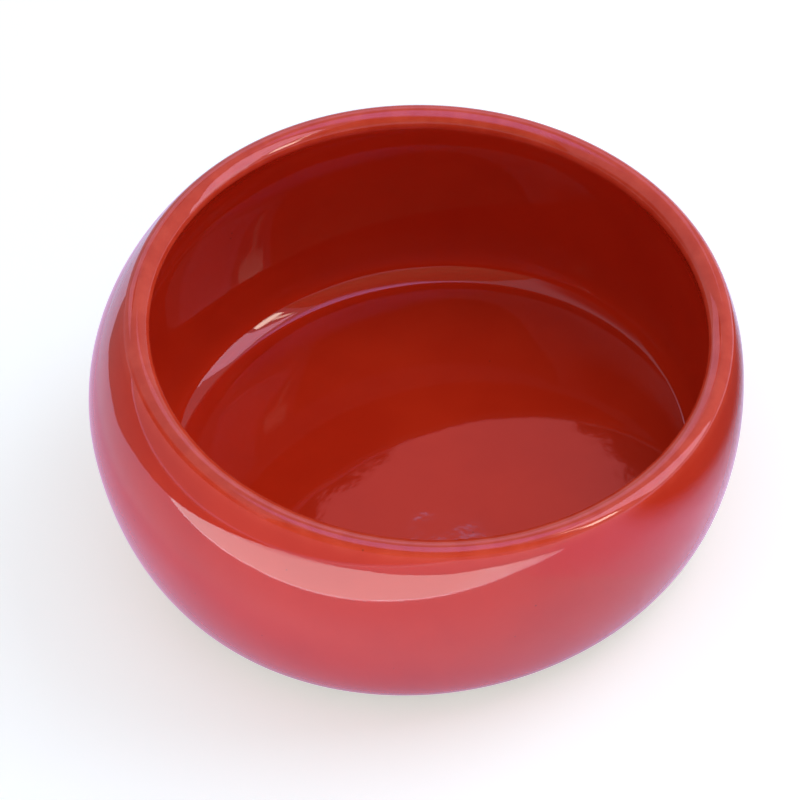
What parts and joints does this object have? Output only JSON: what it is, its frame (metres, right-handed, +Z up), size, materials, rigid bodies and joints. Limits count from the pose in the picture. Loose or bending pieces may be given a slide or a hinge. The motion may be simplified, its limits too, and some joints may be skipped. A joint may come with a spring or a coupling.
{
  "type": "glazed stoneware bowl",
  "caption": "Round red-glazed stoneware bowl with a bulging wall, flat floor, rounded lip and a mouth that leans down towards the front, standing on a bare foot ring.",
  "frame": {"origin": "centre of the foot ring, on the surface that the bowl stands on", "axes": "+Z up, +Y to the back, where the mouth is highest, -Y to the front, where it is lowest, +X to the right seen from the front"},
  "size_m": [0.15, 0.15, 0.0692],
  "materials": {
    "stoneware": "bare fired buff clay, dry and slightly sandy",
    "red_glaze": "glossy red-orange glaze, a little thinner and lighter over the lip"
  },
  "bodies": {
    "root": {"clay_body": "stoneware", "inside_glaze": "red_glaze", "outside_glaze": "red_glaze", "recess_glaze": "red_glaze"}
  },
  "joints": []
}
